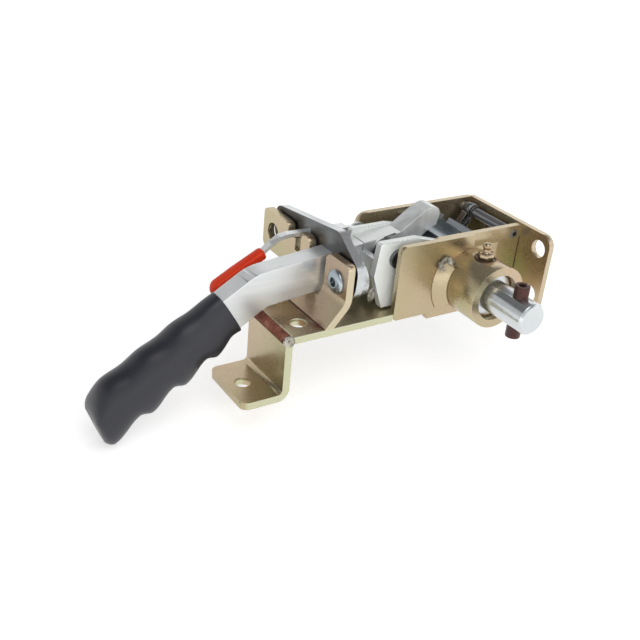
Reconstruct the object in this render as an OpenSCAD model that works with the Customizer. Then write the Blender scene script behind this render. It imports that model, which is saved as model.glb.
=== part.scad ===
// Curtain tensioner: a lever handle, a ratchet and a drive shaft in a plate housing.
// Working frame: shaft axis along Y at x = 0, z = 0, outer face of the near side plate at y = 0.
// Part frame: middle of the two bolt holes on the outer face of the end plate.

/* [Plates] */
// Thickness of the base, foot and fork plates
plate_t = 5; // [4:0.5:8]
// Thickness of the housing plates
side_t = 4; // [3:0.5:5]

/* [Housing] */
// Width over the side plates
house_w = 60; // [58:0.5:70]
// Height of the side plates above the shaft axis
wall_top = 30.5; // [28:0.5:36]
// Height of the shaft axis above the base
shaft_h = 15.5; // [15:0.5:22]
// Shaft axis to the front edge of the near side plate
wall_front = 57; // [52:0.5:60]
// Shaft axis to the inner face of the end plate
wall_rear = 46; // [46:0.5:60]
// Corner radius of the far side plate
wall_r = 8; // [3:0.5:12]
// Shaft axis to the lower edge of the end plate
end_drop = 24.5; // [22:0.5:34]

/* [End plate] */
// Reach of the bolt flange in front of the near side plate
flange_reach = 24; // [20:0.5:40]
// Diameter of the bolt holes
bolt_d = 12; // [9:0.5:13]
// Diameter of the bolt holes in the base and the foot
foot_bolt_d = 10.5; // [8:0.5:13]
// Distance between the two bolt holes
bolt_pitch = 33; // [24:0.5:36]
// Bolt holes to the edge of the flange
bolt_edge = 9.5; // [9:0.5:14]

/* [Boss and shaft] */
// Outer diameter of the bearing boss
boss_d = 42; // [38:0.5:48]
// Length of the bearing boss
boss_len = 31; // [24:0.5:45]
// Diameter of the shaft journal
journal_d = 28; // [24:0.5:30]
// Wall of the bearing bushes
bush_t = 1.5; // [1:0.25:3]
// Diameter of the free end of the shaft
stub_d = 21; // [16:0.5:22]
// Free end of the shaft beyond the boss
stub_len = 32; // [26:0.5:60]
// Diameter of the cross pin
pin_d = 9.5; // [6:0.5:11]
// Length of the cross pin
pin_len = 35.5; // [30:0.5:50]
// Boss face to the axis of the cross pin
pin_set = 18.5; // [16:0.5:19]
// Diameter of the far end of the shaft
tail_d = 18; // [16:0.5:19]
// Width of the grease nipple's hexagon across its flats
nipple_af = 11; // [8:0.5:13]

/* [Ratchet] */
// Diameter over the teeth
wheel_d = 57; // [50:0.5:58]
// Number of teeth
teeth = 12; // [10:1:16]
// Depth of the teeth
tooth_h = 5; // [3:0.5:6]
// Width of the holding wheel
hold_w = 5.6; // [4:0.2:6]
// Diameter of the cross rod
rod_d = 7; // [6:0.5:9]
// Height of the cross rod above the shaft axis
rod_z = 23.6; // [22:0.2:25]

/* [Handle] */
// Thickness of the handle bar
bar_w = 13.5; // [10:0.5:15]
// Height of the handle bar
bar_h = 24; // [20:0.5:28]
// Rise of the bar from its bend to the housing
bar_rise = 6; // [3:0.5:8]
// Droop of the grip
droop = 31.5; // [25:0.5:36]
// Shaft axis to the bend of the bar
bend_x = 142; // [135:0.5:160]
// Height of the bar's upper edge at the bend
bend_z = 15.6; // [12:0.2:18]
// Thickness of the near cheek
cheek_t = 5; // [3:0.5:5]
// Reach of the cheeks in front of the shaft
cheek_front = 69.5; // [66:0.5:71]
// Length of the grip
grip_len = 103; // [90:1:130]
// Width of the grip
grip_w = 27; // [22:0.5:32]
// Height of the grip
grip_h = 33; // [31:0.5:40]

/* [Pawls] */
// Shaft axis to the pawl pin, along the handle
pawl_x = 53; // [50:0.5:55]
// Height of the pawl pin above the shaft axis
pawl_z = 19.5; // [18:0.5:20]
// Diameter of the pawl pin
pawl_pin_d = 9; // [7:0.5:10]
// Thickness of the release lever
lever_t = 3; // [2:0.5:3.5]
// Width of the lever's arm where it runs through the fork
arm_t = 5; // [3:0.5:6]
// Width of the lever's sleeve
sleeve_w = 8.4; // [6:0.2:10]

/* [Base, foot and fork] */
// Shaft axis to the free end of the base
base_front = 131; // [125:0.5:150]
// Width of the foot
foot_w = 46; // [40:0.5:58]
// Length of the foot
foot_len = 32; // [28:0.5:50]
// Base to the upper face of the foot
foot_drop = 39; // [30:0.5:60]
// Shaft axis to the front face of the fork
fork_x = 96; // [94:0.5:98]
// Width of the fork
fork_w = 103; // [96:0.5:112]
// Height of the fork's prongs above the shaft axis
prong_top = 24.5; // [23:0.5:26]
// Width of the near prong
prong_w = 25; // [22:0.5:25.5]
// Diameter of the fork's screw thread
screw_d = 8; // [6:0.5:10]

/* [Clearances] */
// Side clearance between moving pieces
side_gap = 0.3; // [0.2:0.05:0.5]
// Running clearance of a pin or shaft in its bore, on the radius
run_gap = 0.05; // [0.02:0.01:0.1]
// Clearance between a pawl's tip and the teeth
tip_gap = 0.6; // [0.4:0.1:1]
// Clearance between the fork and the keeper plate
keeper_gap = 1.5; // [1:0.25:3]

/* [Hidden] */
$fn = 64;

zinc_yellow = "#c2b083";
zinc_white = "#d4d8da";
steel_dark = "#6d7073";
steel_blue = "#8a97a3";
rubber = "#3a3b40";
sleeve_red = "#d8431d";
weld_brown = "#8a4a33";
pin_brown = "#5d3b33";
bronze = "#9a7a45";

end_t = side_t;
base_top = -shaft_h;
base_low = base_top - plate_t;
bolt_y = bolt_edge - flange_reach;
bolt_z = (wall_top - end_drop) / 2;
near_in = 2 * side_t;
far_in = house_w - side_t;
far_front = wall_front - 5;
inner_front = 26;
inner_top = wall_top - 1;
inner_low = -end_drop - 2.8;
rod_x = wall_rear - rod_d / 2 - 2.1;
outer_rear = 2;

bush_d = journal_d + 2 * bush_t;
tail_bush_d = tail_d + 2 * bush_t;
boss_face = -boss_len;
journal_in = 5;
bush_in = 6.5;
stub_end = boss_face - stub_len;
pin_y = boss_face - pin_set;

washer_t = 1 - side_gap;
cheek_y = near_in + 1;
drive_y = cheek_y + cheek_t + side_gap;
far_washer_t = lever_t + side_gap;
hold_end = far_in - far_washer_t - side_gap;
hold_y = hold_end - hold_w;
far_cheek_t = 4.5;
far_cheek_end = hold_y - 0.8;
bar_far = far_cheek_end - far_cheek_t;
bar_y = bar_far - bar_w;
drive_end = bar_far - side_gap;
lever_y = hold_end + side_gap;
arm_y = lever_y + lever_t;
arm_end = arm_y + arm_t;
ring_t = 1.75;

wheel_r = wheel_d / 2;
root_r = wheel_r - tooth_h;
tooth_a = 360 / teeth;
key_w = 8;
key_h = 7;
spring_d = 1.2;
tip_r = wheel_r + tip_gap;

bend_in = 10;
lap = 0.02;
bend_out = bend_in + bar_h;
bar_na = 90 + bar_rise;
bar_nb = 90 + droop;
bend_mid = (bar_na + bar_nb) / 2;
bend_half_a = (bar_nb - bar_na) / 2;
bend_cx = -bend_x - bend_out / cos(bend_half_a) * cos(bend_mid);
bend_cz = bend_z - bend_out / cos(bend_half_a) * sin(bend_mid);
bar_end_gap = 0.6;
pawl_hub_r = 13;
neck_len = 18.5;
bar_in_grip = 72;
grip_cz = bend_in + bar_h / 2;

keeper_x = -fork_x + plate_t + keeper_gap;
keeper_t = 5.5;
screw_y = 11.5;
screw_z = 10;
far_hole_y = fork_w - 13;
fork_low = -3.5;
tongue_y = bar_far + 3;
slot_side = 0.7;
far_prong_w = 32;
far_hole_d = 14;

function polar(r, a) = [r * cos(a), r * sin(a)];
function turned(a, x, y) = [x * cos(a) - y * sin(a), x * sin(a) + y * cos(a)];
function arc(cx, cy, r, a0, a1, n) =
    [for (i = [0 : n]) [cx + r * cos(a0 + (a1 - a0) * i / n), cy + r * sin(a0 + (a1 - a0) * i / n)]];

// Moves a piece from the working frame to the part frame
module at_bolts() {
    translate([-wall_rear - end_t, -bolt_y, -bolt_z]) children();
}

// Extrudes an outline drawn in x and z from y0 to y1
module across(y0, y1) {
    translate([0, y1, 0]) rotate([90, 0, 0]) linear_extrude(y1 - y0) children();
}

// Extrudes an outline drawn in y and z from x0 to x1
module along(x0, x1) {
    translate([x0, 0, 0]) rotate([90, 0, 90]) linear_extrude(x1 - x0) children();
}

// Extrudes an outline drawn in x and y from z0 to z1
module upward(z0, z1) {
    translate([0, 0, z0]) linear_extrude(z1 - z0) children();
}

// Cylinder along Y
module rod_y(x, z, r, y0, y1) {
    translate([x, y1, z]) rotate([90, 0, 0]) cylinder(r = r, h = y1 - y0);
}

// Ring along Y
module tube_y(x, z, r_out, r_in, y0, y1) {
    difference() {
        rod_y(x, z, r_out, y0, y1);
        rod_y(x, z, r_in, y0 - 1, y1 + 1);
    }
}

// Rectangle from corner a to corner b with a radius at each corner: [a, right of a, b, left of b]
module round_rect(a, b, r) {
    big = 0.01;
    difference() {
        translate(a) square(b - a);
        translate(a) corner_waste(r[0] + big, 0);
        translate([b[0], a[1]]) corner_waste(r[1] + big, 90);
        translate(b) corner_waste(r[2] + big, 180);
        translate([a[0], b[1]]) corner_waste(r[3] + big, 270);
    }
}

// What a corner radius takes away from a corner at the origin
module corner_waste(r, turn) {
    rotate(turn) difference() {
        translate([-1, -1]) square(r + 1);
        translate([r, r]) circle(r);
    }
}

// Tube swept along a path by rings that lie across it
module wire(path, r, sides) {
    n = len(path);
    rings = [for (i = [0 : n - 1])
        let (t = unit(path[min(i + 1, n - 1)] - path[max(i - 1, 0)]),
            u = unit(cross(t, [0.31, 0.87, 0.39])),
            v = cross(t, u))
        for (k = [0 : sides - 1]) path[i] + r * (cos(360 * k / sides) * u + sin(360 * k / sides) * v)];
    skin(rings, n, sides);
}

function unit(v) = v / norm(v);

// Closed skin over rings of points, each ring with the same number of points
module skin(points, rings, sides) {
    sidewalls = [for (i = [0 : rings - 2], k = [0 : sides - 1])
        let (j = (k + 1) % sides)
        [i * sides + k, i * sides + j, (i + 1) * sides + j, (i + 1) * sides + k]];
    start = [[for (k = [0 : sides - 1]) sides - 1 - k]];
    finish = [[for (k = [0 : sides - 1]) (rings - 1) * sides + k]];
    polyhedron(points, concat(sidewalls, start, finish));
}

module base_plate() {
    color(zinc_yellow) at_bolts() difference() {
        upward(base_low, base_top) difference() {
            translate([-base_front, 0]) square([base_front - base_rear, house_w]);
            translate([-wall_front, -1]) square([base_front, 1 + side_t]);
            translate([-far_front, far_in]) square([base_front, house_w]);
        }
        translate([-base_hole_x, base_hole_y, base_low - 1]) cylinder(d = foot_bolt_d, h = plate_t + 2);
    }
}
base_rear = wheel_r + 2;
base_hole_x = 119;
base_hole_y = 15;

module foot_bracket() {
    color(zinc_yellow) at_bolts() difference() {
        union() {
            across(0, foot_w) foot_profile();
            upward(foot_low, foot_low + plate_t)
                round_rect([foot_tip, 0], [riser_x - foot_bend, foot_w], [foot_r, 0, 0, foot_r]);
        }
        translate([foot_hole_x, foot_hole_y, foot_low - 1]) cylinder(d = foot_bolt_d, h = plate_t + 2);
    }
}
riser_x = -base_front - plate_t;
foot_low = base_top - foot_drop - plate_t;
foot_tip = riser_x + plate_t - foot_len;
foot_bend = 3;
foot_r = 5.5;
foot_hole_x = (foot_tip + riser_x) / 2 - 2;
foot_hole_y = foot_w / 2 - 0.7;

// Riser and the bend into the foot
module foot_profile() {
    translate([riser_x, foot_low + plate_t + foot_bend])
        square([plate_t, foot_drop - plate_t - foot_bend]);
    intersection() {
        translate([riser_x - foot_bend, foot_low + plate_t + foot_bend]) difference() {
            circle(foot_bend + plate_t);
            circle(foot_bend);
        }
        translate([riser_x - foot_bend, foot_low]) square(foot_bend + plate_t);
    }
}

// Corner bead between the riser and the end of the base
module foot_weld() {
    color(weld_brown) at_bolts() across(0, foot_w) intersection() {
        translate([-base_front, base_low]) circle(plate_t);
        translate([-base_front - plate_t, base_low]) square(plate_t);
    }
}

module fork_bracket() {
    color(zinc_yellow) at_bolts() difference() {
        union() {
            across(0, house_w) fork_profile();
            along(-fork_x, -fork_x + plate_t) fork_outline();
        }
        translate([-fork_x - fork_toe, prong_w, bar_slot_low])
            cube([fork_toe * 2, tongue_y - prong_w, prong_top * 2]);
        translate([-fork_x - 1, screw_y, screw_z]) rotate([0, 90, 0])
            cylinder(d = screw_d, h = plate_t + 2);
        translate([-fork_x - 1, far_hole_y, screw_z]) rotate([0, 90, 0])
            cylinder(d = far_hole_d, h = plate_t + 2);
    }
}
fork_toe = 13;
fork_bend = 8;
fork_lean = atan2(shaft_h, fork_toe);
fork_turn = 90 - fork_lean;
bend_up = fork_bend * tan(fork_turn / 2);
bar_slot_low = bend_z + (bend_x - fork_x) * tan(bar_rise) - bar_h / cos(bar_rise) - 1;

// Inclined floor of the fork and the bend up into the prongs
module fork_profile() {
    run = plate_t / sin(fork_lean);
    cx = -fork_x - fork_bend;
    polygon(concat([[-fork_x - fork_toe, base_top]], arc(cx, bend_up, fork_bend, -fork_turn, 0, 6),
        [[-fork_x, bend_up + lap]], [[-fork_x + plate_t, bend_up + lap]],
        arc(cx, bend_up, fork_bend + plate_t, 0, -fork_turn, 6), [[-fork_x - fork_toe + run, base_top]]));
}

// Prongs, middle tongue and the slot for the lever
module fork_outline() {
    slot_y = arm_y - slot_side;
    slot_end = arm_end + slot_side;
    difference() {
        union() {
            round_rect([0, bend_up], [fork_w, prong_top], [0, 0, 4, 3]);
            round_rect([house_w - 3, fork_low], [fork_w, bend_up + 3], [2, 5, 0, 0]);
        }
        translate([tongue_y, prong_top]) corner_waste(5, 270);
        translate([slot_y, lever_slot_low]) square([slot_end - slot_y, prong_top]);
        translate([slot_end - lap, shelf_z]) square([fork_w - far_prong_w - slot_end, prong_top]);
        translate([prong_w, prong_top]) rotate(45) square([5, 5], center = true);
        translate([fork_w - far_prong_w, prong_top]) corner_waste(3, 270);
    }
}
lever_slot_low = 10;
shelf_z = 18;

// Button-head screw with a hexagon socket
module fork_screw() {
    color(zinc_white) at_bolts() translate([-fork_x, screw_y, screw_z]) rotate([0, -90, 0]) difference() {
        union() {
            rotate_extrude() intersection() {
                translate([0, screw_head_h - screw_dome]) circle(screw_dome);
                square([screw_d * 0.98, screw_head_h]);
            }
            translate([0, 0, -plate_t]) cylinder(d = screw_d, h = plate_t);
        }
        translate([0, 0, screw_head_h - 3]) cylinder(d = screw_d * 0.7, h = 5, $fn = 6);
    }
}
screw_head_h = 4.5;
screw_dome = 9.5;

module near_side_plate() {
    color(zinc_yellow) at_bolts() difference() {
        across(0, side_t)
            round_rect([-wall_front, base_low], [outer_rear + boss_d / 2, wall_top], [3, 0, 0, 4]);
        translate([outer_rear, -1, boss_d / 2 + 1]) cube([boss_d, side_t + 2, wall_top]);
        translate([outer_rear, -1, base_low - 1]) cube([boss_d, side_t + 2, plate_t]);
        rod_y(0, 0, bush_d / 2, -1, side_t + 1);
    }
}

module near_inner_plate() {
    color(zinc_yellow) at_bolts() difference() {
        across(side_t, near_in) round_rect([-inner_front, inner_low], [wall_rear, inner_top], [1, 0, 0, 3]);
        rod_y(0, 0, bush_d / 2, side_t - 1, near_in + 1);
        rod_y(rod_x, rod_z, rod_d / 2, side_t - 1, near_in + 1);
    }
}

module far_side_plate() {
    color(zinc_yellow) at_bolts() difference() {
        across(far_in, house_w)
            round_rect([-far_front, base_low], [wall_rear, wall_top], [3, 0, 0, wall_r]);
        rod_y(0, 0, tail_bush_d / 2, far_in - 1, house_w + 1);
        rod_y(rod_x, rod_z, rod_d / 2, far_in - 1, house_w + 1);
    }
}

module end_plate() {
    color(zinc_yellow) at_bolts() difference() {
        along(wall_rear, wall_rear + end_t)
            round_rect([-flange_reach, -end_drop], [house_w, wall_top], [8, 2, 2, 8]);
        for (s = [-1, 1]) translate([wall_rear - 1, bolt_y, bolt_z + s * bolt_pitch / 2])
            rotate([0, 90, 0]) cylinder(d = bolt_d, h = end_t + 2);
    }
}

module bearing_boss() {
    color(zinc_yellow) at_bolts() difference() {
        rod_y(0, 0, boss_d / 2, boss_face, 0);
        rod_y(0, 0, bush_d / 2, boss_face - 1, 1);
        translate([0, nipple_y, 0]) cylinder(d = nipple_af * 0.55, h = boss_d);
        translate([0, nipple_y, boss_d / 2 - 0.6]) cylinder(d = nipple_af * 1.35, h = boss_d);
    }
}
nipple_y = -14;

// Fillet bead round the front of the boss
module boss_weld() {
    color(zinc_yellow) at_bolts() rotate([90, 0, 0]) rotate([0, 0, 138]) rotate_extrude(angle = 84)
        translate([boss_d / 2, 0])
            polygon([[0, 0], [weld_leg, 0], [weld_leg * 0.62, weld_leg * 0.42], [0, weld_leg * 0.8]]);
}
weld_leg = 8.5;

module near_bush() {
    color(bronze) at_bolts()
        tube_y(0, 0, bush_d / 2, journal_d / 2 + run_gap, boss_face + bush_in, near_in);
}

module far_bush() {
    color(bronze) at_bolts()
        tube_y(0, 0, tail_bush_d / 2, tail_d / 2 + run_gap, far_in, house_w);
}

// Nipple with a hexagon, a neck and a ball head
module grease_nipple() {
    color(zinc_yellow) at_bolts() translate([0, nipple_y, 0]) {
        translate([0, 0, bush_d / 2 + 0.2]) cylinder(d = nipple_af * 0.55, h = boss_d / 2 - bush_d / 2);
        translate([0, 0, boss_d / 2 - 0.6]) cylinder(d = nipple_af / cos(30), h = 5, $fn = 6);
        translate([0, 0, boss_d / 2 + 4.4]) rotate_extrude()
            polygon([[0, 0], [3.6, 0], [2.6, 2], [2.6, 3.2], [3.4, 4.4], [3.2, 5.6], [1.6, 6.8], [0, 6.8]]);
    }
}

// Rod through both side plates, with riveted ends
module cross_rod() {
    color(steel_dark) at_bolts() {
        rod_y(rod_x, rod_z, rod_d / 2, side_t, house_w);
        rod_y(rod_x, rod_z, rod_d / 2 + 0.8, house_w, house_w + 1.2);
        rod_y(rod_x, rod_z, rod_d / 2 - 0.4, side_t - 0.5, side_t);
    }
}

// Clip that keeps the pawl at the far end of the rod
module rod_collar() {
    color(steel_dark) at_bolts()
        tube_y(rod_x, rod_z, rod_d / 2 + 1.6, rod_d / 2, hold_y - side_gap - 1, hold_y - side_gap);
}

// Pawl that hangs from the rod and stops the shaft turning back
module holding_pawl() {
    color(steel_blue) at_bolts() difference() {
        union() {
            rod_y(rod_x, rod_z, hold_hub, hold_y, hold_end);
            across(hold_y, hold_end) polygon([polar(tip_r, hold_a), polar(tip_r, hold_a + 9),
                [rod_x - hold_hub * 0.9, rod_z], [rod_x + hold_hub * 0.6, rod_z - hold_hub * 0.5],
                polar(tip_r + 5.5, hold_a - 3)]);
        }
        rod_y(rod_x, rod_z, rod_d / 2 + run_gap, hold_y - 1, hold_end + 1);
    }
}
hold_a = 12;
hold_hub = rod_d / 2 + 1.7;

// Tension spring from a hook on the rod down to the side of the pawl
module holding_spring() {
    hook_r = rod_d / 2 + spring_d / 2 + 0.1;
    turns = 6;
    coil_r = 1.9;
    y = hold_y - side_gap - coil_r - spring_d / 2;
    way = [-0.72, 0, -0.69];
    side = cross(way, [0, 1, 0]);
    start = [rod_x, y, rod_z] + way * (hook_r + 1.5);
    hook = [for (a = [40 : 30 : 310]) [rod_x + hook_r * cos(a + 224), y, rod_z + hook_r * sin(a + 224)]];
    coil = [for (i = [0 : 12 * turns]) start + way * (1.5 * i / 12)
        + coil_r * (cos(30 * i) * side + sin(30 * i) * [0, 1, 0])];
    leg = start + way * (1.5 * turns + 3);
    foot = [leg[0], hold_y - spring_d, leg[2]];
    color(steel_dark) at_bolts() wire(concat(hook, coil, [leg, foot]), spring_d / 2, 8);
}

module drive_shaft() {
    color(zinc_white) at_bolts() difference() {
        union() {
            rod_y(0, 0, journal_d / 2, boss_face + journal_in, hold_end);
            rod_y(0, 0, stub_d / 2, stub_end + 1.5, boss_face + journal_in + 1);
            translate([0, stub_end + 1.5, 0]) rotate([90, 0, 0])
                cylinder(r1 = stub_d / 2, r2 = stub_d / 2 - 1.5, h = 1.5);
            rod_y(0, 0, tail_d / 2, hold_end - 1, house_w + ring_t + 2.5);
        }
        translate([0, pin_y, -stub_d]) cylinder(d = pin_d, h = 2 * stub_d);
        translate([-key_w / 2, drive_y, journal_d / 2 - key_h / 2])
            cube([key_w, hold_end - drive_y + 1, key_h]);
        tube_y(0, 0, tail_d / 2 + 1, tail_d / 2 - 1, house_w + side_gap, house_w + side_gap + ring_t);
    }
}

// Slotted spring pin through the free end
module cross_pin() {
    color(pin_brown) at_bolts() translate([0, pin_y, -pin_len / 2]) difference() {
        cylinder(d = pin_d, h = pin_len);
        translate([0, 0, -1]) cylinder(d = pin_d * 0.55, h = pin_len + 2);
        translate([0, -pin_d * 0.06, -1]) cube([pin_d, pin_d * 0.12, pin_len + 2]);
    }
}

// Teeth with a steep driving face and a curved back
module ratchet_outline() {
    steps = 6;
    polygon([for (i = [0 : teeth - 1], k = [0 : steps])
        let (a = tooth_a * i + tooth_a * (0.06 + 0.94 * k / steps),
            r = root_r + tooth_h * pow(k / steps, 1.6))
        polar(k == steps ? wheel_r : r, k == steps ? tooth_a * (i + 1) : a)]);
}

module ratchet_wheel(y0, y1) {
    difference() {
        across(y0, y1) ratchet_outline();
        rod_y(0, 0, journal_d / 2, y0 - 1, y1 + 1);
        translate([-key_w / 2, y0 - 1, 0]) cube([key_w, y1 - y0 + 2, journal_d / 2 + key_h / 2]);
    }
}

module drive_wheel() {
    color(steel_blue) at_bolts() ratchet_wheel(drive_y, drive_end);
}

module holding_wheel() {
    color(steel_blue) at_bolts() ratchet_wheel(hold_y, hold_end);
}

module wheel_key() {
    color(steel_dark) at_bolts() translate([-key_w / 2, drive_y, journal_d / 2 - key_h / 2])
        cube([key_w, drive_end - drive_y, key_h]);
}

module near_washer() {
    color(bronze) at_bolts()
        tube_y(0, 0, journal_d / 2 + 6, journal_d / 2 + run_gap, near_in, near_in + washer_t);
}

module far_washer() {
    color(bronze) at_bolts()
        tube_y(0, 0, tail_d / 2 + 6, tail_d / 2 + run_gap, hold_end + side_gap, far_in);
}

module retaining_ring() {
    color(steel_dark) at_bolts() difference() {
        tube_y(0, 0, tail_d / 2 + 3.5, tail_d / 2 - 1, house_w + side_gap, house_w + side_gap + ring_t);
        translate([-2.5, house_w, -tail_d]) cube([5, 5, tail_d]);
    }
}

// Bar bent where it enters the grip
module handle_bar() {
    color(zinc_white) at_bolts() difference() {
        across(bar_y, bar_far) bar_outline();
        rod_y(-pawl_x, pawl_z, pawl_hub_r + bar_end_gap, bar_y - 1, bar_far + 1);
    }
}

module bar_outline() {
    tail = -neck_len - bar_in_grip;
    translate([bend_cx, bend_cz]) polygon(concat([turned(bar_rise, bar_reach, bend_in)],
        [turned(bar_rise, bar_reach, bend_out)], arc(0, 0, bend_out, bar_na, bar_nb, 12),
        [turned(droop, tail, bend_out)], [turned(droop, tail, bend_in)],
        arc(0, 0, bend_in, bar_nb, bar_na, 12)));
}
bar_reach = bend_x - pawl_x - 16;

// Side plate of the handle, from the pawl pin to the shaft
module cheek_outline(top) {
    difference() {
        union() {
            circle(cheek_r);
            polygon([[-cheek_heel, cheek_low], [-cheek_heel / 2, cheek_low], polar(cheek_r, 240),
                polar(cheek_r, 60), [-cheek_front * 0.55, top],
                [-cheek_front + 3.8, top], [-cheek_front + 2.6, top - 1.2], [-cheek_front, cheek_knee]]);
        }
        circle(journal_d / 2 + run_gap);
        translate([-pawl_x, pawl_z]) circle(pawl_pin_d / 2 + run_gap);
    }
}
cheek_r = 20;
cheek_low = 1 - shaft_h;
cheek_heel = cheek_front - 8.5;
cheek_knee = 9;
near_cheek_top = 31;
far_cheek_top = 28;

module near_cheek() {
    color(zinc_white) at_bolts() across(cheek_y, cheek_y + cheek_t) cheek_outline(near_cheek_top);
}

module far_cheek() {
    color(zinc_white) at_bolts() across(bar_far, far_cheek_end) cheek_outline(far_cheek_top);
}

// Block between the near cheek and the bar
module cheek_block() {
    color(zinc_white) at_bolts() across(cheek_y + cheek_t, bar_y)
        polygon([[-cheek_heel - 2.5, -bar_h * 0.4], [-cheek_heel + 2.5, -bar_h * 0.4],
            [-cheek_heel - 2, bar_h * 0.8], [-cheek_heel - 7, bar_h * 0.8]]);
}

// Plate on the bar that closes the fork, with a thick eye behind the near prong
module keeper_plate() {
    color(steel_dark) at_bolts() difference() {
        union() {
            along(keeper_x, keeper_x + keeper_t) difference() {
                union() {
                    hull() {
                        translate([screw_y, screw_z]) circle(eye_r);
                        translate([screw_y - 4, screw_z + 7]) circle(eye_r * 0.7);
                        translate([peak_y, peak_z]) circle(peak_r);
                    }
                    hull() {
                        translate([peak_y, peak_z]) circle(peak_r);
                        translate([far_hole_y + 1, prong_top - 4.5]) circle(tail_r);
                        translate([far_hole_y + 1, screw_z]) circle(tail_r);
                        translate([tongue_y, prong_top - 9]) circle(4);
                    }
                }
                translate([arm_y - 1.2, -prong_top]) square([arm_t + 2.4, 2 * prong_top + 2]);
            }
            along(keeper_x + 1, keeper_x + eye_t) translate([screw_y, screw_z]) circle(eye_r - 0.5);
        }
        across(bar_y, bar_far) bar_outline();
        across(bar_y - 1, bar_far + 1) translate([-fork_x, -20]) square([20, 30]);
    }
}
eye_r = 12;
eye_t = 10;
peak_y = 25.5;
peak_z = 27.2;
peak_r = 9.8;
tail_r = 8;

// Moulded grip with finger grooves, lofted along the bar
module handle_grip() {
    sides = 24;
    rings = 48;
    points = [for (i = [0 : rings - 1], k = [0 : sides - 1]) grip_point(i / (rings - 1), 360 * k / sides)];
    color(rubber) at_bolts() difference() {
        translate([bend_cx, (bar_y + bar_far) / 2, bend_cz]) rotate([0, -droop, 0])
            translate([-neck_len, 0, grip_cz]) skin(points, rings, sides);
        across(bar_y, bar_far) bar_outline();
    }
}

// Point of the grip's surface at share s of its length and angle a round its section
function grip_point(s, a) =
    let (w = grip_w / 2 * grip_waist(s) - 5 * rounding((s - 0.95) / 0.05),
        up = grip_h * 0.448 - 13 * rounding((s - 0.88) / 0.12),
        low = grip_h / 2 * (1 + 0.26 * s) + grip_wave(s) - 2 * rounding((s - 0.965) / 0.035),
        c = cos(a), n = sin(a),
        z = (n > 0 ? up : low) * sign(n) * pow(abs(n), 0.75))
    [grip_lean(s) * z - grip_len * s, w * sign(c) * pow(abs(c), 0.75), z];
function grip_lean(s) = 0.2 * pow(max(0, (s - 0.7) / 0.3), 2);
function rounding(k) = 1 - sqrt(1 - pow(max(0, min(0.995, k)), 2));
function grip_waist(s) = 0.7 + 0.32 * min(1, s / 0.35);
function grip_wave(s) =
    let (u = (s - 0.205) / 0.25, f = u - floor(u), fade = min(1, s / 0.08))
    fade * (0.2 + 2.5 * (f < 0.3 ? cos(600 * f) : -cos(257 * (f - 0.3))));

// Pin that carries the pawl and the lever, with a dished head
module pawl_pin() {
    color(steel_dark) at_bolts() difference() {
        union() {
            rod_y(-pawl_x, pawl_z, pawl_pin_d / 2, cheek_y - 0.6, arm_y);
            rod_y(-pawl_x, pawl_z, pin_head_r, cheek_y - 2.6, cheek_y - 0.1);
        }
        rod_y(-pawl_x, pawl_z, pin_head_r * 0.45, cheek_y - 4, cheek_y - 1.4);
    }
}
pin_head_r = 6.2;

module pawl_spacer() {
    color(zinc_white) at_bolts()
        tube_y(-pawl_x, pawl_z, pawl_pin_d / 2 + 2, pawl_pin_d / 2 + run_gap, cheek_y + cheek_t + side_gap,
            bar_y);
}

// Pawl that turns the wheel when the handle lifts
module drive_pawl() {
    color(zinc_white) at_bolts() difference() {
        across(bar_y, drive_end) pawl_outline();
        rod_y(-pawl_x, pawl_z, pawl_pin_d / 2, bar_y - 1, drive_end + 1);
    }
}

// Hub round the pin and an arm that rises to a rounded nose
module pawl_outline() {
    hub_a = asin(hub_up / pawl_hub_r);
    polygon(concat(arc(-pawl_x, pawl_z, pawl_hub_r, 180 - hub_a, 300, 16), [[-31, 14]],
        arc(0, 0, tip_r, 130, 107, 6), arc(nose_x, nose_z, nose_r, -15, 105, 10),
        [[-20, 39], [-37.3, 27]]));
}
nose_x = -13;
nose_z = wheel_r + 6.5;
nose_r = 6.3;
hub_up = 4.3;

// Torsion spring round the spacer
module drive_spring() {
    r = pawl_pin_d / 2 + 3.2;
    turns = 5;
    y0 = cheek_y + cheek_t + 1.5;
    step = 1.9;
    coil = [for (i = [0 : 16 * turns])
        [-pawl_x + r * cos(90 + 22.5 * i), y0 + step * i / 16, pawl_z + r * sin(90 + 22.5 * i)]];
    tail = coil[len(coil) - 1];
    ends = [coil[0] + [-9, -0.2, -1], tail + [9, 0.2, 1]];
    color(steel_dark) at_bolts() wire(concat([ends[0]], coil, [ends[1]]), spring_d / 2, 8);
}

// Lever on the pin, with an arm lapped on its outside that runs through the fork and down beside the bar
module release_lever() {
    color(zinc_white) at_bolts() difference() {
        union() {
            rod_y(-pawl_x, pawl_z, lever_hub, lever_y, arm_y);
            across(lever_y, arm_y)
                strip([[-pawl_x, lever_top], [-pawl_x - lap_end, lever_top]], lever_h + 1);
            across(arm_y - lap, arm_end) strip(arm_path, lever_h);
        }
        rod_y(-pawl_x, pawl_z, pawl_pin_d / 2, lever_y - 1, arm_y + 1);
    }
}
lever_hub = 6.4;
lever_h = 2.6;
lever_top = pawl_z + 4.7;
lap_start = 8.5;
lap_end = 20;
slope_x = -fork_x - 9.5;
arm_path = [[-pawl_x - lap_start, lever_top], [-fork_x, lever_top + 0.2], [slope_x, lever_top + 0.4],
    [slope_x - 5.5, lever_top - 0.6], [slope_x - 11.5, lever_top - 4.4], [slope_x - 17, lever_top - 8.8],
    [slope_x - 37, lever_top - 19], [slope_x - 45, lever_top - 24]];

// Strip of height h below a path that runs towards the grip
module strip(path, h) {
    n = len(path);
    polygon(concat(path, [for (i = [0 : n - 1]) path[n - 1 - i] - [0, h]]));
}

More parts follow.
